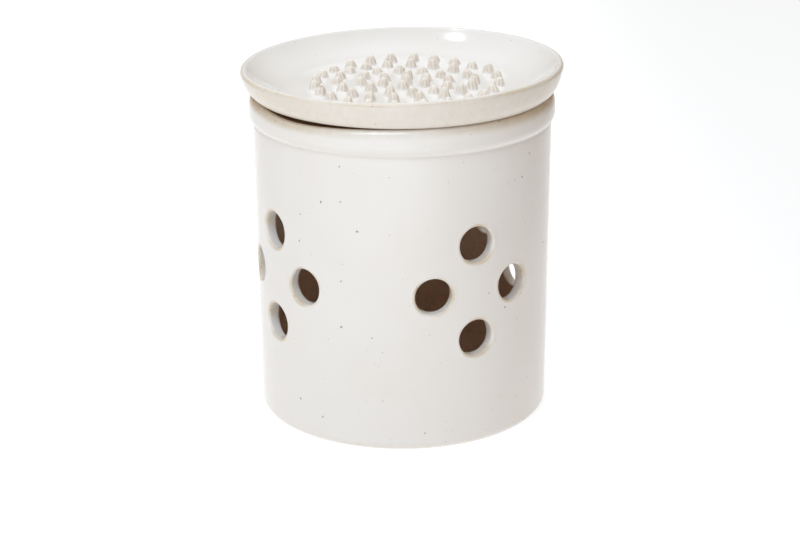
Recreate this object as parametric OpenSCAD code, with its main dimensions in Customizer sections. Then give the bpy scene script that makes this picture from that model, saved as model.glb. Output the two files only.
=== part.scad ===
// Garlic keeper: a thrown stoneware pot with pierced sides, under a lift-off lid.
// The lid is a shallow dish, and its floor carries a field of fluted clay points
// for grating a clove.
//
// Origin: centre of the foot, on the table. +Z is up, along the throwing axis.
// The four clusters of vents face roughly -Y, +X, +Y and -X.

/* [Overall] */
// Height from the table to the top of the lid's rim
overall_h = 100; // [88:1:130]
// Diameter over the lid's rim, the widest part
lid_d = 90; // [88:0.5:104]

/* [Pot wall] */
// Outside diameter just below the collar
neck_d = 83.5; // [80:0.5:86]
// Outside diameter just above the foot's rounded edge
foot_d = 82.2; // [74:0.2:86]
// Thickness of the wall
wall_t = 3; // [2.6:0.1:5]
// Thickness of the floor, above the foot recess
floor_t = 4.4; // [3:0.1:8]
// Radius of the fillet where the wall meets the floor inside
floor_fillet_r = 6; // [3:0.5:12]

/* [Foot] */
// Radius of the rounded outer edge of the foot
foot_edge_r = 2.4; // [1:0.1:4]
// Width of the flat ring that the pot stands on
foot_ring_w = 8; // [4:0.5:14]
// Depth of the shallow recess turned inside the foot ring
foot_recess_h = 1.2; // [0.6:0.1:2.5]

/* [Collar] */
// Height of the collar band under the lid
collar_h = 7.6; // [5:0.1:12]
// How far the collar stands proud of the wall
collar_proud = 1.1; // [0.4:0.1:2]
// Width of the pot's mouth edge, from the inside of the wall to its shoulder
mouth_edge_w = 2.1; // [1.6:0.1:2.4]
// Radius of the softened inner edge of the mouth
mouth_soft_r = 0.6; // [0.3:0.1:1]

/* [Vents] */
// Diameter of each vent hole
vent_d = 10.2; // [6:0.1:12]
// Height of the middle of each cluster
vent_mid_z = 45; // [38:0.1:56]
// Height of the upper and lower hole above and below the middle
vent_rise = 13.4; // [11:0.1:18]
// Distance of each side hole from the middle, along the wall
vent_spread = 12.6; // [10:0.1:15]
// Turn between the two clusters of a pair, hand-marked at a little under a quarter
vent_pair_turn = 87; // [76:0.5:96]
// Width of the sponged edge round each vent, on the outside
vent_edge_w = 0.6; // [0.2:0.1:1]

/* [Lid] */
// Height of the lid above its seat
lid_rise = 7.9; // [6.5:0.1:12]
// Radius of the lip that rounds the rim over
lip_r = 1.1; // [0.8:0.1:1.6]
// Radial clearance of the locating ring in the mouth
ring_gap = 1; // [0.6:0.1:2]
// Depth of the locating ring below the seat
ring_h = 4.6; // [3:0.1:9]
// Thickness of the locating ring
ring_t = 4.2; // [3:0.1:6]
// Radius of the ring's rounded lower edge
ring_soft_r = 1; // [0.5:0.1:1.4]

/* [Dish] */
// Depth of the dish floor below the rim
dish_depth = 6.2; // [4.5:0.1:8]
// Diameter of the flat floor
dish_floor_d = 60.8; // [44:0.2:64]
// Thickness of the lid under the dish floor
dish_floor_t = 3.5; // [2.5:0.1:6]

/* [Grating points] */
// Diameter of each point over its ridges, at the foot
point_d = 3.8; // [2.8:0.1:4.6]
// Height of a full-size point
point_h = 2.9; // [1.8:0.1:3.6]
// Number of ridges round each point
point_ridges = 7; // [5:1:9]
// Depth of the grooves between the ridges
groove_depth = 0.35; // [0.1:0.05:0.6]
// Distance from ring to ring, and along a ring
point_pitch = 6.5; // [5.6:0.1:9]
// Most that a hand-set point strays from its ring
point_stray = 1.3; // [0:0.1:1.3]
// Turn of each ring of points, from the inmost out
ring_turns = [52, 6, 11, 10]; // [0:1:59]
// How far the field's middle lies off the dish's middle, along X and Y
field_shift = [0.8, -0.5]; // [-1:0.1:1]
// Bare floor kept between the outermost points and the start of the flare
field_margin = 0.2; // [0:0.1:2]

/* [Hidden] */
$fn = 96;
// Steps in each bend of a profile
bend_steps = 7;

// Pot heights and radii
seat_z = overall_h - lid_rise;
crease_z = seat_z - collar_h;
floor_z = foot_recess_h + floor_t;
neck_r = neck_d / 2;
foot_r = foot_d / 2;
collar_r = neck_r + collar_proud;
mouth_r = neck_r - wall_t;
shoulder_r = mouth_r + mouth_edge_w;
recess_r = foot_r - foot_edge_r - foot_ring_w;

// Shares of the collar's height where its bulge swings out, is full, and turns in again
bulge_swing = 0.12;
bulge_low = 0.36;
bulge_high = 0.5;

// Radius of the tapering wall at a height
function wall_r(z) = foot_r + (neck_r - foot_r) * z / crease_z;

// Lid heights and radii
rim_r = lid_d / 2;
dish_z = overall_h - dish_depth;
under_z = dish_z - dish_floor_t;
dish_floor_r = dish_floor_d / 2;
ring_r = mouth_r - ring_gap;
ring_low_z = seat_z - ring_h;
lip_x = rim_r - lip_r;
lip_z = overall_h - lip_r;
// The lid's flat seat reaches a little past the pot's shoulder
seat_overlap = 0.3;
lid_seat_r = shoulder_r + seat_overlap;
// Angle, from the outside, where the lip runs into the dish
lip_turn = 128;

// Grating points: rings of 6, 12, 18 ... round a middle one
// No point strays so far that it could reach its neighbour
stray_limit = min(point_stray, (point_pitch - point_d) / 2);
field_r = dish_floor_r - field_margin - point_d / 2 - stray_limit - norm(field_shift);
point_rings = floor(field_r / point_pitch);
// Height lost by the smallest points, as a share
height_loss = 0.28;

// Points along a circle's arc
function arc(centre, r, from, to) =
    [for (i = [0:bend_steps]) let (a = from + (to - from) * i / bend_steps) centre + r * [cos(a), sin(a)]];

// Points along a smooth bend from p to q, drawn towards m
function bend(p, m, q) =
    [for (i = [0:bend_steps]) let (t = i / bend_steps) (1 - t) * (1 - t) * p + 2 * t * (1 - t) * m + t * t * q];

// Section of the pot, from the middle of the foot round to the middle of the floor
pot_section = concat(
    [[0, foot_recess_h], [recess_r, foot_recess_h], [recess_r + foot_recess_h, 0]],
    arc([foot_r - foot_edge_r, foot_edge_r], foot_edge_r, -90, 0),
    bend([neck_r, crease_z], [collar_r, crease_z + bulge_swing * collar_h], [collar_r, crease_z + bulge_low * collar_h]),
    bend([collar_r, crease_z + bulge_high * collar_h], [collar_r, seat_z], [shoulder_r, seat_z]),
    arc([mouth_r + mouth_soft_r, seat_z - mouth_soft_r], mouth_soft_r, 90, 180),
    arc([foot_r - wall_t - floor_fillet_r, floor_z + floor_fillet_r], floor_fillet_r, 0, -90),
    [[0, floor_z]]
);

// Section of the lid, from the middle of its underside round to the middle of the dish
lid_section = concat(
    [[0, under_z]],
    [[ring_r - ring_t, under_z]],
    arc([ring_r - ring_t + ring_soft_r, ring_low_z + ring_soft_r], ring_soft_r, 180, 270),
    arc([ring_r - ring_soft_r, ring_low_z + ring_soft_r], ring_soft_r, -90, 0),
    [[ring_r, seat_z]],
    bend(
        [lid_seat_r, seat_z],
        [lid_seat_r + 0.66 * (rim_r - lid_seat_r), seat_z + 0.14 * lid_rise],
        [rim_r, lip_z]
    ),
    arc([lip_x, lip_z], lip_r, 0, lip_turn),
    bend(
        [lip_x, lip_z] + lip_r * [cos(lip_turn), sin(lip_turn)],
        [dish_floor_r + 0.5 * (lip_x - dish_floor_r), dish_z],
        [dish_floor_r, dish_z]
    ),
    [[0, dish_z]]
);

// Bore of one vent, drilled square through the wall, with its outer edge eased
module vent(turn, z) {
    reach = wall_t * 3;
    rotate([0, 0, turn]) translate([wall_r(z), 0, z]) rotate([0, 90, 0]) {
        translate([0, 0, -reach / 2]) cylinder(d = vent_d, h = reach);
        translate([0, 0, -vent_edge_w]) cylinder(d1 = vent_d, d2 = vent_d + 4 * vent_edge_w, h = 2 * vent_edge_w);
    }
}

// Diamond of four vents round the middle of a cluster
module vent_cluster(turn) {
    side_turn = vent_spread / wall_r(vent_mid_z) * 180 / PI;
    for (side = [-1, 1]) {
        vent(turn + side * side_turn, vent_mid_z);
        vent(turn, vent_mid_z + side * vent_rise);
    }
}

module pot() {
    color([0.93, 0.92, 0.9]) difference() {
        rotate_extrude() polygon(pot_section);
        for (pair = [0, 180], half = [-0.5, 0.5]) {
            vent_cluster(pair - 135 + half * vent_pair_turn);
        }
    }
}

module grater_lid() {
    color([0.94, 0.93, 0.91]) rotate_extrude() polygon(lid_section);
}

// Even-looking but irregular value between -1 and 1, for the hand-set points
function stray(i, k) = sin(i * 322.5 + k * 268 + 102 * sin(i * 346 + k * 61));

// Outline of one level of a point: ridges and grooves in turn
function point_level(size, z) =
    [for (i = [0:2 * point_ridges - 1])
        let (r = size * (point_d / 2 - (i % 2) * groove_depth), a = i * 180 / point_ridges)
        [r * cos(a), r * sin(a), z]];

// One fluted point, a bullet that rounds over to its tip
module grating_point(height) {
    sides = 2 * point_ridges;
    levels = [[1, 0], [0.92, 0.42], [0.62, 0.8]];
    top = len(levels) - 1;
    corners = concat([for (level = levels) each point_level(level[0], level[1] * height)], [[0, 0, height]]);
    foot_face = [[for (i = [0:sides - 1]) i]];
    flank_faces = [for (k = [0:top - 1], i = [0:sides - 1])
        let (a = k * sides + i, b = k * sides + (i + 1) % sides)
        [a, a + sides, b + sides, b]];
    tip_faces = [for (i = [0:sides - 1])
        [top * sides + i, len(corners) - 1, top * sides + (i + 1) % sides]];
    polyhedron(corners, concat(foot_face, flank_faces, tip_faces));
}

// The field of points, luted to the dish floor ring by ring
module grater_teeth() {
    color([0.84, 0.79, 0.71]) for (ring = [0:point_rings], k = [0:max(0, 6 * ring - 1)]) {
        i = ring == 0 ? 0 : 3 * ring * (ring - 1) + 1 + k;
        turn = ring == 0 ? 0 : ring_turns[(ring - 1) % len(ring_turns)] + k * 60 / ring;
        drift = stray_limit * [stray(i, 1), stray(i, 2)] / sqrt(2);
        place = field_shift + ring * point_pitch * [cos(turn), sin(turn)] + drift;
        translate([place[0], place[1], dish_z])
            rotate([0, 0, 90 * stray(i, 3)])
            grating_point(point_h * (1 - height_loss * (1 + stray(i, 4)) / 2));
    }
}

pot();
grater_lid();
grater_teeth();
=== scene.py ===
"""Garlic keeper: a pierced stoneware pot under a dish lid with fluted grating points."""
import math

import bmesh
import bpy
from bpy.props import FloatProperty, FloatVectorProperty, IntProperty, PointerProperty
from mathutils import Euler, Matrix, Vector


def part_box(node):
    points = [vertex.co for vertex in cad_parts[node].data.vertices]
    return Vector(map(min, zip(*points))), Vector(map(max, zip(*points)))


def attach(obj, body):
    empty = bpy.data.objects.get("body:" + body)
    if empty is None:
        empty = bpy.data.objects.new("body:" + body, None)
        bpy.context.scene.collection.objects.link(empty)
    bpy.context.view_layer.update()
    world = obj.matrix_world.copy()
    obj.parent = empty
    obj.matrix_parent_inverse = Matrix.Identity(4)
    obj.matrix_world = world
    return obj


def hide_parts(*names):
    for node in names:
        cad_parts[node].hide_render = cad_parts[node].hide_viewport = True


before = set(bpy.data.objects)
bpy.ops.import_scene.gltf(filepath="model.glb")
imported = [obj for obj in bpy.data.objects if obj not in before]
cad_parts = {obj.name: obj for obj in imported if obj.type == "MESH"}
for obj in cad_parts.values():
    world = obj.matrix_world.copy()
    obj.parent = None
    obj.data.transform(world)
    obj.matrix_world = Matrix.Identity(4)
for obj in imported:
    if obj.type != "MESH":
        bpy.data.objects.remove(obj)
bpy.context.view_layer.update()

bl_info = {
    "name": "Garlic keeper",
    "version": (1, 0, 0),
    "blender": (4, 5, 0),
    "location": "3D View > Sidebar > Keeper",
    "description": "Builds a glazed garlic keeper with a grating lid, and a small studio round it",
    "category": "Add Mesh",
}

MM = 0.001

# Places taken from the frame
POT_LOW, POT_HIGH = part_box("pot")
LID_LOW, LID_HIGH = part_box("grater_lid")
SEAT_Z = POT_HIGH.z
RIM_Z = LID_HIGH.z
RIM_R = LID_HIGH.x
DISH_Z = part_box("grater_teeth")[0].z


# ---------------------------------------------------------------- sizes and colours


class PotSizes(bpy.types.PropertyGroup):
    """Sizes of the pot"""

    neck_d: FloatProperty(
        name="Neck diameter", description="Outside diameter just below the collar",
        default=83.5 * MM, unit="LENGTH")
    foot_d: FloatProperty(
        name="Foot diameter", description="Outside diameter just above the foot's rounded edge",
        default=82.2 * MM, unit="LENGTH")
    wall_t: FloatProperty(
        name="Wall", description="Thickness of the wall", default=3 * MM, unit="LENGTH")
    floor_z: FloatProperty(
        name="Floor height", description="Height of the floor inside", default=5.6 * MM, unit="LENGTH")
    floor_fillet_r: FloatProperty(
        name="Floor fillet", description="Radius where the wall meets the floor inside",
        default=6 * MM, unit="LENGTH")
    foot_edge_r: FloatProperty(
        name="Foot edge", description="Radius of the rounded outer edge of the foot",
        default=2.4 * MM, unit="LENGTH")
    foot_ring_w: FloatProperty(
        name="Foot ring", description="Width of the foot ring, with the slope on its inner side",
        default=8 * MM, unit="LENGTH")
    foot_recess_h: FloatProperty(
        name="Foot recess", description="Depth of the recess inside the foot ring",
        default=1.2 * MM, unit="LENGTH")
    collar_h: FloatProperty(
        name="Collar height", description="Height of the band under the lid",
        default=7.6 * MM, unit="LENGTH")
    collar_proud: FloatProperty(
        name="Collar proud", description="How far the collar stands out from the wall",
        default=1.1 * MM, unit="LENGTH")
    mouth_edge_w: FloatProperty(
        name="Mouth edge", description="Width of the mouth edge, from the inside to the shoulder",
        default=2.1 * MM, unit="LENGTH")
    mouth_soft_r: FloatProperty(
        name="Mouth softening", description="Radius of the inner edge of the mouth",
        default=0.6 * MM, unit="LENGTH")
    throwing: FloatProperty(
        name="Throwing marks", description="Height of the faint ridges left by the fingers",
        default=0.03 * MM, unit="LENGTH")
    wander: FloatProperty(
        name="Wander", description="How far the hand-thrown wall strays from true round",
        default=0.12 * MM, unit="LENGTH")
    sag: FloatProperty(
        name="Shoulder sag", description="Dip of the shoulder that opens the seam on one side",
        default=1.15 * MM, unit="LENGTH")
    sag_turn: FloatProperty(
        name="Sag turn", description="Direction of the shoulder's dip",
        default=math.radians(-166), subtype="ANGLE")
    groove: FloatProperty(
        name="Crease groove", description="Depth of the soft groove under the collar",
        default=0.16 * MM, unit="LENGTH")


class VentSizes(bpy.types.PropertyGroup):
    """Sizes and places of the vents"""

    vent_d: FloatProperty(
        name="Vent diameter", description="Diameter of each vent hole", default=10.2 * MM, unit="LENGTH")
    mid_z: FloatProperty(
        name="Cluster height", description="Height of the middle of each cluster",
        default=45 * MM, unit="LENGTH")
    rise: FloatProperty(
        name="Rise", description="Height of the upper and lower hole above and below the middle",
        default=13.4 * MM, unit="LENGTH")
    spread: FloatProperty(
        name="Spread", description="Distance of each side hole from the middle, along the wall",
        default=12.6 * MM, unit="LENGTH")
    pair_turn: FloatProperty(
        name="Pair turn", description="Turn between the two clusters of a pair",
        default=math.radians(87), subtype="ANGLE")
    outer_edge: FloatProperty(
        name="Outer edge", description="Rounding of the sponged edge outside",
        default=0.7 * MM, unit="LENGTH")
    inner_edge: FloatProperty(
        name="Inner edge", description="Rounding of the edge inside", default=0.3 * MM, unit="LENGTH")
    bead: FloatProperty(
        name="Glaze bead", description="Height of the glaze that gathers round each vent",
        default=0.07 * MM, unit="LENGTH")


class LidSizes(bpy.types.PropertyGroup):
    """Sizes of the lid"""

    lip_r: FloatProperty(
        name="Lip radius", description="Radius that rounds the rim over", default=1.1 * MM, unit="LENGTH")
    ring_gap: FloatProperty(
        name="Ring gap", description="Clearance of the locating ring in the mouth",
        default=1 * MM, unit="LENGTH")
    ring_t: FloatProperty(
        name="Ring thickness", description="Thickness of the locating ring",
        default=4.2 * MM, unit="LENGTH")
    ring_soft_r: FloatProperty(
        name="Ring softening", description="Radius of the ring's lower edge",
        default=1 * MM, unit="LENGTH")
    floor_d: FloatProperty(
        name="Dish floor", description="Diameter of the flat floor of the dish",
        default=60.8 * MM, unit="LENGTH")
    floor_t: FloatProperty(
        name="Floor thickness", description="Thickness of the lid under the dish floor",
        default=3.5 * MM, unit="LENGTH")
    seat_overlap: FloatProperty(
        name="Seat overlap", description="How far the lid's flat seat reaches past the pot's shoulder",
        default=0.3 * MM, unit="LENGTH")
    rim_lean: FloatProperty(
        name="Rim lean", description="Lean of the rim, warped in the firing",
        default=math.radians(1.13), subtype="ANGLE")
    lean_turn: FloatProperty(
        name="Lean turn", description="Direction of the rim's high side",
        default=math.radians(-30.45), subtype="ANGLE")


class PointSizes(bpy.types.PropertyGroup):
    """Shape of the grating points"""

    ridges: IntProperty(
        name="Ridges", description="Ridges round each point", default=7, min=3, max=12)
    groove: FloatProperty(
        name="Groove", description="Depth of the grooves between the ridges",
        default=0.27 * MM, unit="LENGTH")
    lean: FloatProperty(
        name="Lean", description="How far the tip of a hand-set point strays",
        default=0.35 * MM, unit="LENGTH")


class Finish(bpy.types.PropertyGroup):
    """Colours of the glaze and the clay"""

    glaze: FloatVectorProperty(
        name="Glaze", description="Off-white glaze where it lies thick",
        subtype="COLOR", size=4, default=(0.865, 0.843, 0.815, 1))
    glaze_warm: FloatVectorProperty(
        name="Warm glaze", description="The same glaze where it lies a little thinner",
        subtype="COLOR", size=4, default=(0.82, 0.775, 0.72, 1))
    glaze_break: FloatVectorProperty(
        name="Glaze break", description="Beige where the glaze breaks over an edge",
        subtype="COLOR", size=4, default=(0.68, 0.57, 0.42, 1))
    speck: FloatVectorProperty(
        name="Iron speck", description="Iron specks that melt through the glaze",
        subtype="COLOR", size=4, default=(0.14, 0.105, 0.075, 1))
    clay: FloatVectorProperty(
        name="Bare clay", description="Bare fired stoneware",
        subtype="COLOR", size=4, default=(0.92, 0.76, 0.64, 1))
    clay_dark: FloatVectorProperty(
        name="Dark clay", description="Darker tone of the bare stoneware",
        subtype="COLOR", size=4, default=(0.86, 0.69, 0.57, 1))
    point_pale: FloatVectorProperty(
        name="Pale points", description="Grating points where a thin wash of glaze lies on the ridges",
        subtype="COLOR", size=4, default=(0.88, 0.825, 0.76, 1))
    # Tan clay in the grooves, darkened further as painted shade of the flutes
    point_groove_shade: FloatVectorProperty(
        name="Point grooves", description="Bare clay in the grooves of the grating points",
        subtype="COLOR", size=4, default=(0.75, 0.665, 0.57, 1))
    # Painted shade: the seam between the pot and the lid, darkened to brown on the bare seat
    seat: FloatVectorProperty(
        name="Seat", description="Brown of the bare seat between the pot and the lid",
        subtype="COLOR", size=4, default=(0.30, 0.20, 0.12, 1))
    scorch: FloatVectorProperty(
        name="Scorched tips", description="Tips that the fire has browned",
        subtype="COLOR", size=4, default=(0.30, 0.15, 0.07, 1))


class Studio(bpy.types.PropertyGroup):
    """Camera and light"""

    azimuth: FloatProperty(
        name="Azimuth", description="Turn of the camera round the keeper",
        default=math.radians(-30.45), subtype="ANGLE")
    distance: FloatProperty(
        name="Distance", description="Level distance of the camera from the keeper's axis",
        default=573.7 * MM, unit="LENGTH")
    height: FloatProperty(
        name="Height", description="Height of the camera above the table",
        default=240.9 * MM, unit="LENGTH")
    pitch: FloatProperty(
        name="Pitch", description="How far the camera looks down",
        default=math.radians(19.324), subtype="ANGLE")
    roll: FloatProperty(
        name="Roll", description="Roll of the camera", default=math.radians(-0.414), subtype="ANGLE")
    pan: FloatProperty(
        name="Pan", description="Turn of the camera away from the axis",
        default=math.radians(0.087), subtype="ANGLE")
    lens: FloatProperty(
        name="Lens", description="Focal length in millimetres, on a 36 mm sensor",
        default=95.05, subtype="DISTANCE_CAMERA")
    floor_tone: FloatVectorProperty(
        name="Floor tone", description="Pale floor of the studio",
        subtype="COLOR", size=4, default=(0.36, 0.35, 0.34, 1))
    floor_glow: FloatProperty(
        name="Floor glow", description="Light that the floor gives off by itself, as a light table does",
        default=0.8)


GROUPS = {
    "keeper_pot": PotSizes,
    "keeper_vents": VentSizes,
    "keeper_lid": LidSizes,
    "keeper_points": PointSizes,
    "keeper_finish": Finish,
    "keeper_studio": Studio,
}


# ---------------------------------------------------------------- outlines


def arc(centre, radius, start, end, steps=8):
    """Points along a circle's arc, angles in degrees."""
    points = []
    for i in range(steps + 1):
        a = math.radians(start + (end - start) * i / steps)
        points.append((centre[0] + radius * math.cos(a), centre[1] + radius * math.sin(a)))
    return points


def bend(p, m, q, steps=8):
    """Points along a smooth bend from p to q, drawn towards m."""
    points = []
    for i in range(steps + 1):
        t = i / steps
        weights = ((1 - t) ** 2, 2 * t * (1 - t), t * t)
        points.append(tuple(weights[0] * p[k] + weights[1] * m[k] + weights[2] * q[k] for k in (0, 1)))
    return points


def stretch(p, q, steps):
    """Points along a straight line, its two ends left out."""
    return [tuple(p[k] + (q[k] - p[k]) * i / steps for k in (0, 1)) for i in range(1, steps)]


def smooth_step(low, high, x):
    """0 below low, 1 above high, and smooth between."""
    t = min(max((x - low) / (high - low), 0), 1)
    return t * t * (3 - 2 * t)


def wrapped(angle):
    """The same direction, as an angle within half a turn either way."""
    return (angle + math.pi) % (2 * math.pi) - math.pi


# ---------------------------------------------------------------- finishes


def add_node(tree, kind, inputs=None, **settings):
    """A node with its settings and its unlinked inputs."""
    node = tree.nodes.new(kind)
    for name, value in settings.items():
        setattr(node, name, value)
    for name, value in (inputs or {}).items():
        if isinstance(value, bpy.types.NodeSocket):
            tree.links.new(value, node.inputs[name])
        else:
            node.inputs[name].default_value = value
    return node


def noise(tree, place, scale, detail=3.0, roughness=0.55):
    """Fractal noise at a scale, in cycles a metre."""
    node = add_node(tree, "ShaderNodeTexNoise",
                    {"Vector": place, "Scale": scale, "Detail": detail, "Roughness": roughness})
    return node.outputs["Fac"]


def ramp(tree, value, low, high, out_low=0.0, out_high=1.0):
    """value mapped smoothly from one range to another."""
    node = add_node(tree, "ShaderNodeMapRange",
                    {"Value": value, "From Min": low, "From Max": high,
                     "To Min": out_low, "To Max": out_high},
                    interpolation_type="SMOOTHSTEP")
    return node.outputs["Result"]


def blend_colours(tree, factor, first, second):
    """first where factor is 0 and second where it is 1."""
    node = add_node(tree, "ShaderNodeMix", data_type="RGBA")
    for socket, value in ((node.inputs[0], factor), (node.inputs[6], first), (node.inputs[7], second)):
        if isinstance(value, bpy.types.NodeSocket):
            tree.links.new(value, socket)
        else:
            socket.default_value = value
    return node.outputs[2]


def combine(tree, kind, a, b):
    """One arithmetic step on two values."""
    node = add_node(tree, "ShaderNodeMath", operation=kind)
    for socket, value in zip(node.inputs, (a, b)):
        if isinstance(value, bpy.types.NodeSocket):
            tree.links.new(value, socket)
        else:
            socket.default_value = value
    return node.outputs[0]


def painted(tree, name):
    """A value painted on the mesh's points."""
    return add_node(tree, "ShaderNodeAttribute", attribute_name=name).outputs["Fac"]


def specks(tree, place, scale, share, size):
    """Round specks in a share of the cells of a scattered grid, with ragged edges."""
    cells = add_node(tree, "ShaderNodeTexVoronoi", {"Vector": place, "Scale": scale, "Randomness": 1.0})
    pick = add_node(tree, "ShaderNodeSeparateColor", {"Color": cells.outputs["Color"]})
    radius = ramp(tree, pick.outputs["Red"], 1 - share, 1, 0, size)
    ragged = ramp(tree, noise(tree, place, scale * 6, 2), 0.3, 0.7, 0.6, 1.3)
    edge = combine(tree, "MULTIPLY", radius, ragged)
    near = combine(tree, "SUBTRACT", edge, cells.outputs["Distance"])
    return ramp(tree, near, 0, size * 0.35)


def shifted(tree, place, shift):
    """The same coordinates, moved along, so that two patterns don't line up."""
    node = add_node(tree, "ShaderNodeVectorMath", {"Vector": place}, operation="ADD")
    node.inputs[1].default_value = (shift, shift, shift)
    return node.outputs[0]


def new_finish(name):
    """An empty material, its tree, its shader and the object's own coordinates."""
    material = bpy.data.materials.new(name)
    material.use_nodes = True
    tree = material.node_tree
    tree.nodes.clear()
    shader = tree.nodes.new("ShaderNodeBsdfPrincipled")
    out = tree.nodes.new("ShaderNodeOutputMaterial")
    tree.links.new(shader.outputs["BSDF"], out.inputs["Surface"])
    place = tree.nodes.new("ShaderNodeTexCoord").outputs["Object"]
    return material, tree, shader, place


def add_bump(tree, shader, height, strength, distance):
    """A fine relief on the shader."""
    node = add_node(tree, "ShaderNodeBump", {"Height": height, "Strength": strength, "Distance": distance})
    tree.links.new(node.outputs["Normal"], shader.inputs["Normal"])


def speckled_glaze(name, finish):
    """Gloss off-white glaze with iron specks, which thins to beige where the mesh is painted thin."""
    material, tree, shader, place = new_finish(name)
    # Soft clouds of warmer glaze
    clouds = ramp(tree, noise(tree, place, 34, 3), 0.35, 0.75, 0, 0.4)
    colour = blend_colours(tree, clouds, finish.glaze, finish.glaze_warm)
    # Thin glaze breaks to beige, with dark pinholes
    ragged = noise(tree, place, 500, 4)
    worn = combine(tree, "ADD", painted(tree, "thin"), combine(tree, "MULTIPLY", ragged, 0.3))
    thin = ramp(tree, worn, 0.25, 1.1)
    colour = blend_colours(tree, thin, colour, finish.glaze_break)
    pinholes = ramp(tree, noise(tree, place, 1700, 2), 0.63, 0.71, 0, 0.6)
    dots = combine(tree, "MULTIPLY", pinholes, ramp(tree, painted(tree, "thin"), 0.48, 0.6))
    colour = blend_colours(tree, dots, colour, finish.scorch)
    # Bare clay, which is painted brown on the seat as the shade of the seam between pot and lid
    rubbed = combine(tree, "ADD", painted(tree, "bare"), combine(tree, "MULTIPLY", ragged, 0.4))
    bare = ramp(tree, rubbed, 0.6, 0.9)
    clay_tone = ramp(tree, noise(tree, place, 700, 5), 0.35, 0.7)
    clay = blend_colours(tree, clay_tone, finish.clay, finish.clay_dark)
    clay = blend_colours(tree, ramp(tree, painted(tree, "bare"), 1.2, 1.9), clay, finish.seat)
    colour = blend_colours(tree, bare, colour, clay)
    # Beige freckles, iron specks and finer dust
    freckles = specks(tree, place, 420, 0.34, 0.13)
    colour = blend_colours(tree, combine(tree, "MULTIPLY", freckles, 0.6), colour, finish.glaze_break)
    iron = specks(tree, shifted(tree, place, 0.37), 330, 0.2, 0.14)
    colour = blend_colours(tree, combine(tree, "MULTIPLY", iron, 0.7), colour, finish.speck)
    dust = specks(tree, shifted(tree, place, 0.71), 640, 0.26, 0.13)
    colour = blend_colours(tree, combine(tree, "MULTIPLY", dust, 0.5), colour, finish.speck)
    tree.links.new(colour, shader.inputs["Base Color"])
    # Gloss that varies a little, and matt clay
    gloss = ramp(tree, noise(tree, place, 90, 3), 0.3, 0.7, 0.1, 0.18)
    rough = add_node(tree, "ShaderNodeMix", data_type="FLOAT")
    tree.links.new(combine(tree, "MAXIMUM", bare, combine(tree, "MULTIPLY", thin, 0.3)), rough.inputs[0])
    tree.links.new(gloss, rough.inputs[2])
    rough.inputs[3].default_value = 0.75
    tree.links.new(rough.outputs[0], shader.inputs["Roughness"])
    grit = combine(tree, "MULTIPLY", noise(tree, place, 1500, 3), bare)
    add_bump(tree, shader, combine(tree, "ADD", noise(tree, place, 140, 2), grit), 0.3, 0.12 * MM)
    shader.inputs["IOR"].default_value = 1.5
    return material


def bare_clay(name, finish):
    """Fired clay for the grating points: pale ridges, tan grooves darkened with painted shade, and a few
    browned tips.
    """
    material, tree, shader, place = new_finish(name)
    ragged = combine(tree, "MULTIPLY", noise(tree, place, 900, 4), 0.6)
    # Grooves turn tan: bare clay with painted shade in the flutes
    groove = ramp(tree, combine(tree, "ADD", painted(tree, "thin"), ragged), 0.35, 1.3)
    colour = blend_colours(tree, groove, finish.point_pale, finish.point_groove_shade)
    burnt = ramp(tree, combine(tree, "ADD", painted(tree, "scorch"), ragged), 0.75, 1.3)
    colour = blend_colours(tree, burnt, colour, finish.scorch)
    bare = ramp(tree, combine(tree, "ADD", painted(tree, "bare"), ragged), 0.35, 0.95)
    tree.links.new(blend_colours(tree, bare, finish.glaze, colour), shader.inputs["Base Color"])
    tree.links.new(ramp(tree, bare, 0, 1, 0.2, 0.5), shader.inputs["Roughness"])
    add_bump(tree, shader, noise(tree, place, 1600, 4), 0.5, 0.12 * MM)
    return material


# ---------------------------------------------------------------- mesh helpers


def finish_mesh(name, bm, material, levels=1):
    """A smooth object from a bmesh, with its material and a subdivision."""
    bmesh.ops.recalc_face_normals(bm, faces=bm.faces)
    mesh = bpy.data.meshes.new(name)
    bm.to_mesh(mesh)
    bm.free()
    for face in mesh.polygons:
        face.use_smooth = True
    piece = bpy.data.objects.new(name, mesh)
    bpy.context.scene.collection.objects.link(piece)
    mesh.materials.append(material)
    if levels:
        smooth = piece.modifiers.new("Smooth", "SUBSURF")
        smooth.levels = levels
        smooth.render_levels = levels
    return piece


def paint_layers(bm):
    """The two painted values of a glazed mesh: thin glaze and bare clay."""
    return bm.verts.layers.float.new("thin"), bm.verts.layers.float.new("bare")


def revolve(bm, section, turns, shape, paint, skip=()):
    """Sweeps a section of (radius, height) round the axis.

    shape gives the place of a radius, height and turn. A section point on the axis becomes one
    vertex. skip holds the (row, column) places left out for the vents. Returns the rows of vertices.
    """
    rows = []
    for row, (radius, height) in enumerate(section):
        if radius < 1e-7:
            vertex = bm.verts.new(shape(0, height, 0))
            paint(vertex, row)
            rows.append([vertex] * len(turns))
            continue
        ring = []
        for column, turn in enumerate(turns):
            if (row, column) in skip:
                ring.append(None)
                continue
            vertex = bm.verts.new(shape(radius, height, turn))
            paint(vertex, row)
            ring.append(vertex)
        rows.append(ring)
    for lower, upper in zip(rows, rows[1:]):
        for i in range(len(turns)):
            j = (i + 1) % len(turns)
            corners = (lower[i], lower[j], upper[j], upper[i])
            if None in corners:
                continue
            corners = list(dict.fromkeys(corners))
            if len(corners) > 2:
                bm.faces.new(corners)
    return rows


# ---------------------------------------------------------------- the pot

# Mesh steps along each side of a vent's cell
CELL_STEPS = 8
# Cells that a cluster is wide and high
CELLS = 3
# Middle between the two clusters of the first pair
PAIR_MIDDLE = math.radians(-135)
# Shares of the collar's height where its bulge swings out, is full, and turns in again
BULGE_SWING = 0.12
BULGE_LOW = 0.36
BULGE_HIGH = 0.5
# Height of the wall under the crease that has finer rows of mesh
NECK_ZONE = 2.4 * MM
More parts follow.
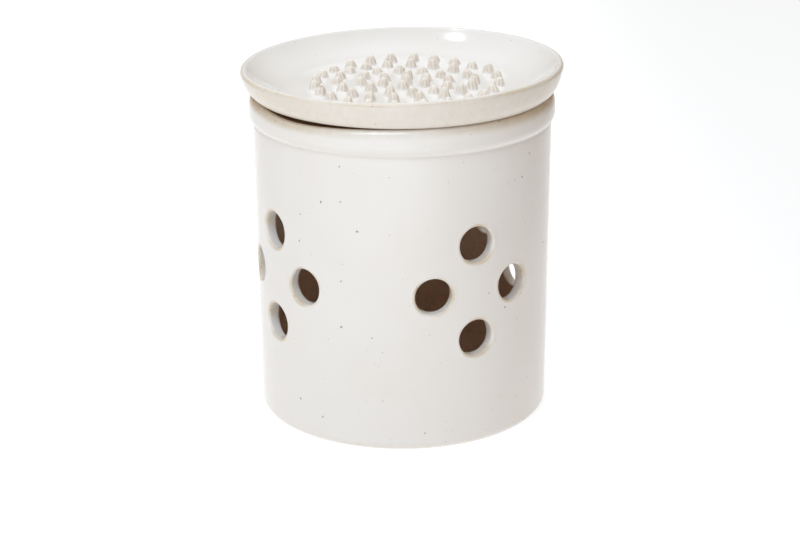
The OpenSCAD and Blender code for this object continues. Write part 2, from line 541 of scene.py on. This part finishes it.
# Height of the middle of the recess's rounded corner
CORNER_Z = 0.35 * MM
# Ease of the flat ring's inner edge, across and up
RING_EASE = (0.4 * MM, 0.02 * MM)
# How far a hand-cut hole is out of round, as a share
OUT_OF_ROUND = 0.012
# Values painted as bareness: bare clay, and the bare seat between the pot and the lid, darkened to brown as
# painted shade of the seam
CLAY_BARE = 1.0
SEAT_SHADE_BARE = 2.0
# Thinness of the glaze at the foot, and the heights between which it ends
FOOT_THIN = 0.35
FOOT_FADE = (0.8 * MM, 3.6 * MM)
# Depths under the seat between which the shoulder turns beige, fullest towards the seam
SHOULDER_FADE = (3.9 * MM, 0.8 * MM)
# Depth to which the inside of the mouth is painted brown like the seat, as shade of the seam
MOUTH_SHADE_DEPTH = 3 * MM
# Glaze bead round a vent: distance from its edge in mm, share of the bead's height, thinness
BEAD_LEVELS = ((0.9, 0.2, 0.0), (0.5, 0.7, 0.05), (0.2, 1.0, 0.3))
# How far the bead's foot lies from the vent's edge
BEAD_REACH = 1.3 * MM
# Rounded outer edge of a vent: degrees and thinness
EDGE_LEVELS = ((0, 0.5), (22, 0.62), (45, 0.66), (67, 0.6), (90, 0.55))
# Thinness of the glaze in a vent's bore, and inside round the vent
BORE_THIN = 0.35
INNER_THIN = 0.4
# Rounded inner edge of a vent: degrees and bareness
INNER_LEVELS = ((90, 0.4), (45, 0.8), (0, 1.0))


class PotForm:
    """The pot's outline and the grid that its vents are cut in."""

    def __init__(self, sizes, vents):
        self.sizes = sizes
        self.vents = vents
        self.neck_r = sizes.neck_d / 2
        self.foot_r = sizes.foot_d / 2
        self.crease_z = SEAT_Z - sizes.collar_h
        self.mouth_r = self.neck_r - sizes.wall_t
        self.shoulder_r = self.mouth_r + sizes.mouth_edge_w
        self.cell_turn = vents.spread / self.outer_r(vents.mid_z)
        self.low_z = vents.mid_z - CELLS / 2 * vents.rise
        self.lay_out_columns()
        self.lay_out_section()

    def outer_r(self, z):
        """Radius of the wall outside at a height."""
        return self.foot_r + (self.neck_r - self.foot_r) * z / self.crease_z

    def inner_r(self, z):
        """Radius of the wall inside at a height."""
        low = self.sizes.floor_z + self.sizes.floor_fillet_r
        high = SEAT_Z - self.sizes.mouth_soft_r
        bottom = self.foot_r - self.sizes.wall_t
        return bottom + (self.mouth_r - bottom) * (z - low) / (high - low)

    def lay_out_columns(self):
        """Turns of the mesh columns: three cells to a cluster, and the wall between divided evenly."""
        half = self.vents.pair_turn / 2
        centres = [PAIR_MIDDLE + pair + side * half for pair in (0, math.pi) for side in (-1, 1)]
        width = CELLS * self.cell_turn
        step = self.cell_turn / CELL_STEPS
        self.turns = []
        self.clusters = []
        for centre, following in zip(centres, centres[1:] + [centres[0] + 2 * math.pi]):
            self.clusters.append((len(self.turns), centre))
            start = centre - width / 2
            self.turns += [start + step * i for i in range(CELLS * CELL_STEPS)]
            gap = following - centre - width
            count = round(gap / step)
            self.turns += [start + width + gap * i / count for i in range(count)]

    def lay_out_section(self):
        """The section from the middle of the foot, up the wall and down inside to the floor's middle."""
        s = self.sizes
        zone = [self.low_z + self.vents.rise * i / CELL_STEPS for i in range(CELLS * CELL_STEPS + 1)]
        recess_r = self.foot_r - s.foot_edge_r - s.foot_ring_w
        collar_r = self.neck_r + s.collar_proud
        under = [(0, s.foot_recess_h)] + stretch((0, s.foot_recess_h), (recess_r, s.foot_recess_h), 10)
        under += arc((recess_r, CORNER_Z), s.foot_recess_h - CORNER_Z, 90, 10, 4)
        flat_r = recess_r + s.foot_recess_h
        under += [(flat_r, RING_EASE[1]), (flat_r + RING_EASE[0], 0)]
        under += stretch((flat_r, 0), (self.foot_r - s.foot_edge_r, 0), 4)
        foot = arc((self.foot_r - s.foot_edge_r, s.foot_edge_r), s.foot_edge_r, -90, 0, 8)
        below = stretch((self.outer_r(s.foot_edge_r), s.foot_edge_r), (self.outer_r(zone[0]), zone[0]), 14)
        wall = [(self.outer_r(z), z) for z in zone]
        crease = (self.neck_r, self.crease_z)
        neck_z = self.crease_z - NECK_ZONE
        neck = (self.outer_r(neck_z), neck_z)
        above = stretch(wall[-1], neck, 11) + [neck] + stretch(neck, crease, 6)
        low_bulge = self.crease_z + BULGE_LOW * s.collar_h
        high_bulge = self.crease_z + BULGE_HIGH * s.collar_h
        swing_z = self.crease_z + BULGE_SWING * s.collar_h
        collar = bend(crease, (collar_r, swing_z), (collar_r, low_bulge))
        shoulder = bend((collar_r, high_bulge), (collar_r, SEAT_Z), (self.shoulder_r, SEAT_Z))
        mouth = arc((self.mouth_r + s.mouth_soft_r, SEAT_Z - s.mouth_soft_r), s.mouth_soft_r, 90, 180, 4)
        inner = [(self.inner_r(z), z) for z in reversed(zone)]
        inner_above = stretch(mouth[-1], inner[0], 16)
        corner = arc((self.foot_r - s.wall_t - s.floor_fillet_r, s.floor_z + s.floor_fillet_r),
                     s.floor_fillet_r, 0, -90, 8)
        inner_below = stretch(inner[-1], corner[0], 8)
        bottom = stretch(corner[-1], (0, s.floor_z), 12) + [(0, s.floor_z)]
        outside = under + foot + below
        self.outer_base = len(outside)
        outside += wall + above + collar + shoulder
        self.mouth_row = len(outside)
        outside += mouth + inner_above
        self.inner_base = len(outside) + len(inner) - 1
        self.foot_rows = len(under) + 1
        self.shoulder_row = self.mouth_row - len(shoulder)
        self.section = outside + inner + inner_below + corner + bottom

    def place(self, radius, height, turn):
        """A point of the pot, with the slight wander of a thrown wall."""
        s = self.sizes
        body = smooth_step(self.foot_r * 0.8, self.foot_r * 0.95, radius)
        # Slow waves round and up the wall, and finger ridges about 5 mm apart
        low = math.sin(2 * turn + 0.6 + 14 * height) + 0.7 * math.sin(3 * turn - 1.1 - 30 * height)
        marks = math.sin(1150 * height + 0.8 * turn) * math.sin(210 * height + 1.3)
        settled = smooth_step(0, 12 * MM, height) * (1 - smooth_step(SEAT_Z - 9 * MM, SEAT_Z, height))
        radius += body * settled * (s.wander * low + s.throwing * marks)
        # The soft groove, on the outside only
        outside = smooth_step(self.neck_r - 1 * MM, self.neck_r - 0.5 * MM, radius)
        radius -= s.groove * outside * math.exp(-((height - self.crease_z - 0.3 * MM) / (0.8 * MM)) ** 2)
        # The dip at the shoulder, which ends sooner on one side
        aside = wrapped(turn - s.sag_turn)
        reach = 0.5 if aside > 0 else 0.34
        height -= s.sag * math.exp(-(aside / reach) ** 2) * smooth_step(SEAT_Z - 6 * MM, SEAT_Z, height)
        return Vector((radius * math.cos(turn), radius * math.sin(turn), height))

    def cells(self):
        """(first column, first row of cells, turn, height) of each vent."""
        found = []
        for column, centre in self.clusters:
            for across, up in ((0, 1), (2, 1), (1, 0), (1, 2)):
                turn = centre + (across - 1) * self.cell_turn
                height = self.vents.mid_z + (up - 1) * self.vents.rise
                found.append((column + across * CELL_STEPS, up * CELL_STEPS, turn, height))
        return found

    def row(self, step, inside):
        """Section row at a step up the vents' zone, outside or inside."""
        return self.inner_base - step if inside else self.outer_base + step


def cell_loop(column, row):
    """(column, step) round a vent's cell, anticlockwise from its lower left corner."""
    n = CELL_STEPS
    loop = [(column + i, row) for i in range(n)]
    loop += [(column + n, row + i) for i in range(n)]
    loop += [(column + n - i, row + n) for i in range(n)]
    loop += [(column, row + n - i) for i in range(n)]
    return loop


def cut_vent(bm, form, rows, cell, layers):
    """Fills a cell round one vent, and lines the vent from the outside to the inside."""
    thin, bare = layers
    column, row, turn, height = cell
    vents = form.vents
    radius = vents.vent_d / 2
    loop = cell_loop(column, row)
    width = len(form.turns)
    angles = []
    for c, step in loop:
        across = wrapped(form.turns[c % width] - turn)
        up = form.low_z + vents.rise * step / CELL_STEPS - height
        angles.append(math.atan2(up, across * form.outer_r(height)))
    egg = OUT_OF_ROUND * math.sin(5 * turn + 90 * height)

    def ring(distance, depth, inside):
        """Points round the vent's axis, at a depth under the wall's surface."""
        points = []
        for a in angles:
            reach = distance * (1 + egg * math.cos(2 * a + turn))
            across, z = reach * math.cos(a), height + reach * math.sin(a)
            wall = form.inner_r(z) if inside else form.outer_r(z)
            out = math.sqrt(wall * wall - across * across) - depth
            points.append((math.hypot(out, across), z, turn + math.atan2(across, out)))
        return points

    def border(inside):
        """Polar points of the cell's border."""
        wall = form.inner_r if inside else form.outer_r
        points = []
        for c, step in loop:
            z = form.low_z + vents.rise * step / CELL_STEPS
            across = wrapped(form.turns[c % width] - turn)
            points.append((wall(z), z, turn + across))
        return points

    def between(first, second, t):
        """Points a share of the way from one loop to another."""
        return [tuple(a + (b - a) * t for a, b in zip(p, q)) for p, q in zip(first, second)]

    e, f = vents.outer_edge, vents.inner_edge
    levels = [(between(border(False), ring(radius + e + BEAD_REACH, 0, False), 0.5), 0.0, 0.0)]
    for out, lift, worn in BEAD_LEVELS:
        levels.append((ring(radius + e + out * MM, -lift * vents.bead, False), worn, 0.0))
    for degrees, worn in EDGE_LEVELS:
        a = math.radians(degrees)
        lift = vents.bead * math.cos(a)
        depth = e * (1 - math.cos(a)) - lift
        levels.append((ring(radius + e * (1 - math.sin(a)), depth, False), worn, 0.0))
    start = levels[-1][0]
    back = ring(radius, -f, True)
    levels += [(between(start, back, t), BORE_THIN, 0.15 * t) for t in (0.25, 0.5, 0.75)]
    for degrees, inside in INNER_LEVELS:
        a = math.radians(degrees)
        depth = -f * (1 - math.cos(a))
        levels.append((ring(radius + f * (1 - math.sin(a)), depth, True), INNER_THIN, inside))
    levels.append((between(levels[-1][0], border(True), 0.5), INNER_THIN, CLAY_BARE))

    previous = [rows[form.row(step, False)][c % width] for c, step in loop]
    last = [rows[form.row(step, True)][c % width] for c, step in loop]
    count = len(loop)
    for points, worn, inside in levels:
        current = []
        for a, (r, z, t) in zip(angles, points):
            vertex = bm.verts.new(form.place(r, z, t))
            # The edge is worn unevenly round the hole
            patchy = 0.85 + 0.3 * math.sin(2 * a + 9 * turn) + 0.2 * math.sin(5 * a - 4 * turn)
            vertex[thin], vertex[bare] = worn * patchy, inside
            current.append(vertex)
        for i in range(count):
            j = (i + 1) % count
            bm.faces.new((previous[i], previous[j], current[j], current[i]))
        previous = current
    for i in range(count):
        j = (i + 1) % count
        bm.faces.new((previous[i], previous[j], last[j], last[i]))


def make_pot(context):
    """The pot as one mesh: outside, vents, inside and foot."""
    scene = context.scene
    form = PotForm(scene.keeper_pot, scene.keeper_vents)
    bm = bmesh.new()
    layers = paint_layers(bm)
    thin, bare = layers
    lid = scene.keeper_lid
    skip = set()
    width = len(form.turns)
    for column, row, _, _ in form.cells():
        for i in range(1, CELL_STEPS):
            for j in range(1, CELL_STEPS):
                for inside in (False, True):
                    skip.add((form.row(row + j, inside), (column + i) % width))

    def paint(vertex, row):
        height = form.section[row][1]
        if row < form.foot_rows:
            vertex[bare] = CLAY_BARE
        elif row < form.outer_base:
            vertex[thin] = FOOT_THIN * (1 - smooth_step(*FOOT_FADE, height))
        if form.shoulder_row <= row < form.mouth_row:
            away = math.atan2(vertex.co.y, vertex.co.x) - lid.lean_turn
            strength = 0.58 + 0.22 * math.cos(2 * away) + 0.06 * math.sin(5 * away)
            low, high = (SEAT_Z - depth for depth in SHOULDER_FADE)
            vertex[thin] = strength * smooth_step(low, high, height)
        # The mouth's top and inner edge: bare clay, painted brown near the seat as the seam's shade
        if row >= form.mouth_row - 1:
            vertex[bare] = SEAT_SHADE_BARE if height > SEAT_Z - MOUTH_SHADE_DEPTH else CLAY_BARE

    rows = revolve(bm, form.section, form.turns, form.place, paint, skip)
    for cell in form.cells():
        cut_vent(bm, form, rows, cell, layers)
    return finish_mesh("glazed_pot", bm, speckled_glaze("Speckled glaze", scene.keeper_finish))


# ---------------------------------------------------------------- the lid


# Angle in degrees, from the outside, where the lip runs into the dish
LIP_TURN = 128
# Bow of the flank, as shares of its reach and of its rise
FLANK_BOW = (0.66, 0.14)
# Share of the way from the floor to the lip where the dish bends up
DISH_BEND = 0.5
# Ease of the locating ring's corners
RING_CORNER = 0.3 * MM
# Mesh columns round the lid
LID_COLUMNS = 192


def rim_warp(point, sizes):
    """Height that the warped rim gains or loses at a point of the lid."""
    high_side = Vector((math.cos(sizes.lean_turn), math.sin(sizes.lean_turn), 0))
    share = smooth_step(SEAT_Z, RIM_Z + 2 * MM, point.z)
    return share * math.tan(sizes.rim_lean) * point.dot(high_side)


def make_lid(context):
    """The dish lid, with its flared rim, seat and locating ring."""
    scene = context.scene
    sizes = scene.keeper_lid
    form = PotForm(scene.keeper_pot, scene.keeper_vents)
    ring_r = form.mouth_r - sizes.ring_gap
    ring_low = LID_LOW.z
    under_z = DISH_Z - sizes.floor_t
    seat_r = form.shoulder_r + sizes.seat_overlap
    floor_r = sizes.floor_d / 2
    lip = (RIM_R - sizes.lip_r, RIM_Z - sizes.lip_r)
    soft = sizes.ring_soft_r
    inner = ring_r - sizes.ring_t
    edge = math.radians(LIP_TURN)
    under = [(0, under_z)] + stretch((0, under_z), (inner, under_z), 12)
    under += [(inner - RING_CORNER, under_z), (inner, under_z - RING_CORNER)]
    ring = arc((inner + soft, ring_low + soft), soft, 180, 270, 5)
    ring += arc((ring_r - soft, ring_low + soft), soft, -90, 0, 5)
    seat = [(ring_r, SEAT_Z - RING_CORNER), (ring_r + RING_CORNER, SEAT_Z)]
    seat += stretch((ring_r, SEAT_Z), (seat_r, SEAT_Z), 4)[1:]
    rise = RIM_Z - SEAT_Z
    bow = (seat_r + FLANK_BOW[0] * (RIM_R - seat_r), SEAT_Z + FLANK_BOW[1] * rise)
    flank = bend((seat_r, SEAT_Z), bow, (RIM_R, lip[1]), 14)
    rim = arc(lip, sizes.lip_r, 0, LIP_TURN, 9)
    dish = bend((lip[0] + sizes.lip_r * math.cos(edge), lip[1] + sizes.lip_r * math.sin(edge)),
                (floor_r + DISH_BEND * (lip[0] - floor_r), DISH_Z), (floor_r, DISH_Z), 18)
    floor = stretch((floor_r, DISH_Z), (0, DISH_Z), 16) + [(0, DISH_Z)]
    section = under + ring + seat + flank + rim + dish + floor
    flank_row = len(under + ring + seat)
    rim_row = flank_row + len(flank)
    bm = bmesh.new()
    thin, bare = paint_layers(bm)

    def shape(radius, height, turn):
        point = Vector((radius * math.cos(turn), radius * math.sin(turn), height))
        point.z += rim_warp(point, sizes)
        return point

    def paint(vertex, row):
        if flank_row <= row < rim_row + len(rim):
            # A light wash over the flank, and worn glaze where the lip turns over
            climb = (row - rim_row) / len(rim)
            side = math.atan2(vertex.co.y, vertex.co.x) - sizes.lean_turn
            strength = 0.6 + 0.1 * math.sin(7 * side + 1) + 0.06 * math.sin(13 * side)
            wash = 0.43 + 0.03 * math.cos(2 * side) - 0.03 * math.cos(side) if climb < 0.25 else 0
            vertex[thin] = max(wash, strength * math.exp(-((climb - 0.25) / 0.3) ** 2))
        # Bare clay under the lid, with the seat painted brown as the seam's shade
        if row < flank_row:
            vertex[bare] = SEAT_SHADE_BARE if row >= len(under + ring) else CLAY_BARE

    turns = [2 * math.pi * i / LID_COLUMNS for i in range(LID_COLUMNS)]
    revolve(bm, section, turns, shape, paint)
    return finish_mesh("glazed_lid", bm, speckled_glaze("Lid glaze", scene.keeper_finish))


# ---------------------------------------------------------------- the grating points


def islands(mesh):
    """The separate solids of a mesh, each as a list of its corners."""
    bm = bmesh.new()
    bm.from_mesh(mesh)
    bmesh.ops.remove_doubles(bm, verts=bm.verts, dist=1e-7)
    left = set(bm.verts)
    found = []
    for vertex in bm.verts:
        if vertex not in left:
            continue
        left.discard(vertex)
        group, queue = [], [vertex]
        while queue:
            corner = queue.pop()
            group.append(corner.co.copy())
            for edge in corner.link_edges:
                other = edge.other_vert(corner)
                if other in left:
                    left.discard(other)
                    queue.append(other)
        found.append(group)
    bm.free()
    return found


# Share of a point's height, share of its radius, depth of its grooves and bareness, level by level
POINT_LEVELS = (
    (-0.08, 1.06, 0.1, 0), (0.02, 1.01, 0.4, 0), (0.1, 0.95, 0.85, 0.3),
    (0.25, 0.89, 1, 0.8), (0.42, 0.82, 1, 1), (0.58, 0.73, 1, 1),
    (0.72, 0.62, 0.9, 1), (0.84, 0.49, 0.8, 1), (0.93, 0.33, 0.6, 1),
)
# Mesh columns from ridge to ridge of a point
RIDGE_STEPS = 4
# How few of the tips are browned: a higher power leaves fewer
SCORCH_POWER = 16


def grating_point(bm, corners, scene, layers, number):
    """One fluted point over its CAD solid, rounded over at the tip and flared at the foot."""
    sizes = scene.keeper_points
    thin, bare, scorch = layers
    low = min(c.z for c in corners)
    height = max(c.z for c in corners) - low
    foot = [c for c in corners if c.z < low + 0.01 * MM]
    centre = sum(foot, Vector()) / len(foot)
    radius = max((c - centre).length for c in foot)
    ridge = max(foot, key=lambda c: (c - centre).length) - centre
    phase = math.atan2(ridge.y, ridge.x)
    lean = sizes.lean * Vector((math.sin(2.4 * number), math.cos(3.1 * number), 0))
    burn = max(0, math.sin(2.9 * number + 0.4)) ** SCORCH_POWER
    around = RIDGE_STEPS * sizes.ridges

    def corner(place, worn, groove, up):
        place.z += rim_warp(place, scene.keeper_lid)
        vertex = bm.verts.new(place)
        # The groove's depth is painted as thin, which darkens the flutes as painted shade
        vertex[bare], vertex[thin], vertex[scorch] = worn, groove, burn * smooth_step(0.5, 1, up)
        return vertex

    previous = None
    for up, across, depth, worn in POINT_LEVELS:
        ring = []
        for i in range(around):
            turn = phase + 2 * math.pi * i / around
            groove = (1 - math.cos(sizes.ridges * (turn - phase))) / 2
            lump = 1 + 0.035 * math.sin(3 * turn + 5 * number + 4 * up)
            reach = radius * across * lump - sizes.groove * depth * groove
            place = centre + Vector((reach * math.cos(turn), reach * math.sin(turn), up * height))
            ring.append(corner(place + lean * max(up, 0) ** 1.5, worn, groove * depth, up))
        for i in range(around if previous else 0):
            j = (i + 1) % around
            bm.faces.new((previous[i], previous[j], ring[j], ring[i]))
        if not previous:
            bm.faces.new(ring)
        previous = ring
    top = corner(centre + lean + Vector((0, 0, height)), 1, 0.2, 1)
    for i in range(around):
        bm.faces.new((previous[i], previous[(i + 1) % around], top))


def make_points(context):
    """The field of fluted clay points on the dish floor."""
    scene = context.scene
    bm = bmesh.new()
    layers = [bm.verts.layers.float.new(name) for name in ("thin", "bare", "scorch")]
    for number, corners in enumerate(islands(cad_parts["grater_teeth"].data)):
        grating_point(bm, corners, scene, layers, number)
    return finish_mesh("grating_points", bm, bare_clay("Bare clay", scene.keeper_finish))


# ---------------------------------------------------------------- the studio


# Width of the camera's sensor, in millimetres
SENSOR_W = 36
# Colour and strength of the dim warm surround
SURROUND = (1, 0.74, 0.5, 1)
SURROUND_STRENGTH = 0.3
# Gap under the foot, so that the floor doesn't share its surface
FLOOR_GAP = 0.02 * MM
# Names, directions from the aim as turn and height in degrees, distances, sizes in metres,
# watts, colours, and whether the gloss mirrors the lamp
LAMPS = (
    ("Key", -24, 58, 1.1, (0.62, 0.5), 5.9, (0.83, 1.0, 1.16), True),
    ("Front left", -30, 60, 1.05, (0.2, 0.14), 0.5, (1, 1, 1), True),
    ("Front right", 28, 60, 1.1, (0.2, 0.16), 0.45, (1, 1, 1), True),
    ("Back", 180, 60, 1.2, (0.45, 0.8), 5.9, (0.88, 1.0, 1.11), False),
    ("Spark", -108, 69, 1.1, (0.17, 0.1), 1.0, (1, 1, 1), True),
)


def add_light(name, place, size, power, colour, aim, mirrored=True):
    """A soft rectangular lamp, aimed at a point, that the gloss mirrors or not."""
    lamp = bpy.data.lights.new(name, "AREA")
    lamp.shape = "RECTANGLE"
    lamp.size, lamp.size_y = size
    lamp.energy = power
    lamp.color = colour
    holder = bpy.data.objects.new(name, lamp)
    holder.location = place
    holder.rotation_euler = (aim - place).to_track_quat("-Z", "Y").to_euler()
    holder.visible_glossy = mirrored
    bpy.context.scene.collection.objects.link(holder)


def make_floor(studio):
    """A pale floor that gives off a little light."""
    bm = bmesh.new()
    bmesh.ops.create_grid(bm, x_segments=2, y_segments=2, size=6)
    material, tree, shader, place = new_finish("Studio floor")
    tone = ramp(tree, noise(tree, place, 3, 2), 0.3, 0.7)
    pale = studio.floor_tone
    colour = blend_colours(tree, tone, pale, [0.99 * v for v in pale[:3]] + [1])
    tree.links.new(colour, shader.inputs["Base Color"])
    shader.inputs["Roughness"].default_value = 0.9
    shader.inputs["Specular IOR Level"].default_value = 0
    # Turned so that X runs to the right of the picture and Y away from its camera
    turned = add_node(tree, "ShaderNodeVectorRotate", {"Vector": place, "Angle": -studio.azimuth},
                      rotation_type="Z_AXIS")
    along = add_node(tree, "ShaderNodeSeparateXYZ", {"Vector": turned.outputs[0]})
    # The glow dims to the right, and fades beside the keeper, less so on the left
    dimmed = ramp(tree, along.outputs["X"], 0, 0.16, 1, 0.8)
    depth = combine(tree, "MAXIMUM", combine(tree, "ADD", along.outputs["Y"], 0.6), 0.05)
    aside = combine(tree, "DIVIDE", combine(tree, "ABSOLUTE", along.outputs["X"], 0.0), depth)
    outer = ramp(tree, along.outputs["X"], -0.1, 0.1, 0.75, 0.35)
    sides = combine(tree, "MAXIMUM", ramp(tree, aside, 0.2, 0.5, 1, 0), outer)
    # It is full again far away and towards the camera, and stronger in front of the keeper
    away = add_node(tree, "ShaderNodeVectorMath", {"Vector": place}, operation="LENGTH").outputs["Value"]
    sides = combine(tree, "MAXIMUM", sides, ramp(tree, away, 0.5, 1.6))
    sides = combine(tree, "MAXIMUM", sides, ramp(tree, along.outputs["Y"], -0.6, -0.1, 1, 0))
    front = ramp(tree, along.outputs["Y"], -0.3, -0.11, 1.7, 1)
    glow = combine(tree, "MULTIPLY", combine(tree, "MULTIPLY", sides, front), studio.floor_glow)
    glow = combine(tree, "MULTIPLY", glow, dimmed)
    shader.inputs["Emission Color"].default_value = (0.98, 1, 1.02, 1)
    tree.links.new(glow, shader.inputs["Emission Strength"])
    floor = finish_mesh("studio_floor", bm, material, 0)
    floor.location.z = POT_LOW.z - FLOOR_GAP


def make_camera(studio):
    """The camera at the photograph's viewing angle."""
    data = bpy.data.cameras.new("Camera")
    data.lens = studio.lens
    data.sensor_width = SENSOR_W
    data.clip_start, data.clip_end = 0.01, 50
    camera = bpy.data.objects.new("Camera", data)
    bpy.context.scene.collection.objects.link(camera)
    heading = Matrix.Rotation(studio.azimuth + studio.pan, 4, "Z")
    look = Matrix.Rotation(math.pi / 2 - studio.pitch, 4, "X") @ Matrix.Rotation(studio.roll, 4, "Z")
    spot = Vector((studio.distance * math.sin(studio.azimuth),
                   -studio.distance * math.cos(studio.azimuth), studio.height))
    camera.matrix_world = Matrix.Translation(spot) @ heading @ look
    bpy.context.scene.camera = camera


def make_lights(studio):
    """A broad key lamp high on the left, one behind for the dish, small sparks, and a dim warm surround."""
    aim = Vector((0, 0, 60 * MM))
    turn = Euler((0, 0, studio.azimuth)).to_matrix()
    for name, side, rise, distance, size, watts, colour, mirrored in LAMPS:
        side, rise = math.radians(side), math.radians(rise)
        way = Vector((math.sin(side) * math.cos(rise), -math.cos(side) * math.cos(rise), math.sin(rise)))
        add_light(name, aim + turn @ way * distance, size, watts, colour, aim, mirrored)
    world = bpy.data.worlds.new("Surround")
    world.use_nodes = True
    background = world.node_tree.nodes["Background"]
    background.inputs["Color"].default_value = SURROUND
    background.inputs["Strength"].default_value = SURROUND_STRENGTH
    bpy.context.scene.world = world


# ---------------------------------------------------------------- operators


class KEEPER_OT_pot(bpy.types.Operator):
    """Build the glazed pot with its vents"""

    bl_idname = "keeper.pot"
    bl_label = "Pot"

    def execute(self, context):
        piece = make_pot(context)
        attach(piece, "pot")
        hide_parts("pot")
        return {"FINISHED"}


class KEEPER_OT_lid(bpy.types.Operator):
    """Build the dish lid"""

    bl_idname = "keeper.lid"
    bl_label = "Dish lid"

    def execute(self, context):
        piece = make_lid(context)
        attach(piece, "lid")
        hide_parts("grater_lid")
        return {"FINISHED"}


class KEEPER_OT_points(bpy.types.Operator):
    """Build the field of grating points"""

    bl_idname = "keeper.points"
    bl_label = "Grating points"

    def execute(self, context):
        piece = make_points(context)
        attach(piece, "lid")
        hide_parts("grater_teeth")
        return {"FINISHED"}


class KEEPER_OT_stage(bpy.types.Operator):
    """Set up the floor, the lights and the camera"""

    bl_idname = "keeper.stage"
    bl_label = "Studio"

    def execute(self, context):
        studio = context.scene.keeper_studio
        make_floor(studio)
        make_lights(studio)
        make_camera(studio)
        context.scene.view_settings.view_transform = "Standard"
        return {"FINISHED"}


OPERATORS = (KEEPER_OT_stage, KEEPER_OT_pot, KEEPER_OT_lid, KEEPER_OT_points)


class KEEPER_PT_panel(bpy.types.Panel):
    """Lists the steps that build the keeper"""

    bl_idname = "KEEPER_PT_panel"
    bl_label = "Garlic keeper"
    bl_space_type = "VIEW_3D"
    bl_region_type = "UI"
    bl_category = "Keeper"

    def draw(self, context):
        for operator in OPERATORS:
            self.layout.operator(operator.bl_idname)


CLASSES = (*GROUPS.values(), *OPERATORS, KEEPER_PT_panel)


def register():
    """Registers the classes and hangs the groups of sizes on the scene."""
    for cls in CLASSES:
        bpy.utils.register_class(cls)
    for name, group in GROUPS.items():
        setattr(bpy.types.Scene, name, PointerProperty(type=group))


def unregister():
    """Takes all of it away again."""
    for name in GROUPS:
        delattr(bpy.types.Scene, name)
    for cls in reversed(CLASSES):
        bpy.utils.unregister_class(cls)


def main():
    """Builds everything in order."""
    register()
    bpy.ops.keeper.stage()
    bpy.ops.keeper.pot()
    bpy.ops.keeper.lid()
    bpy.ops.keeper.points()


if __name__ == "__main__":
    main()
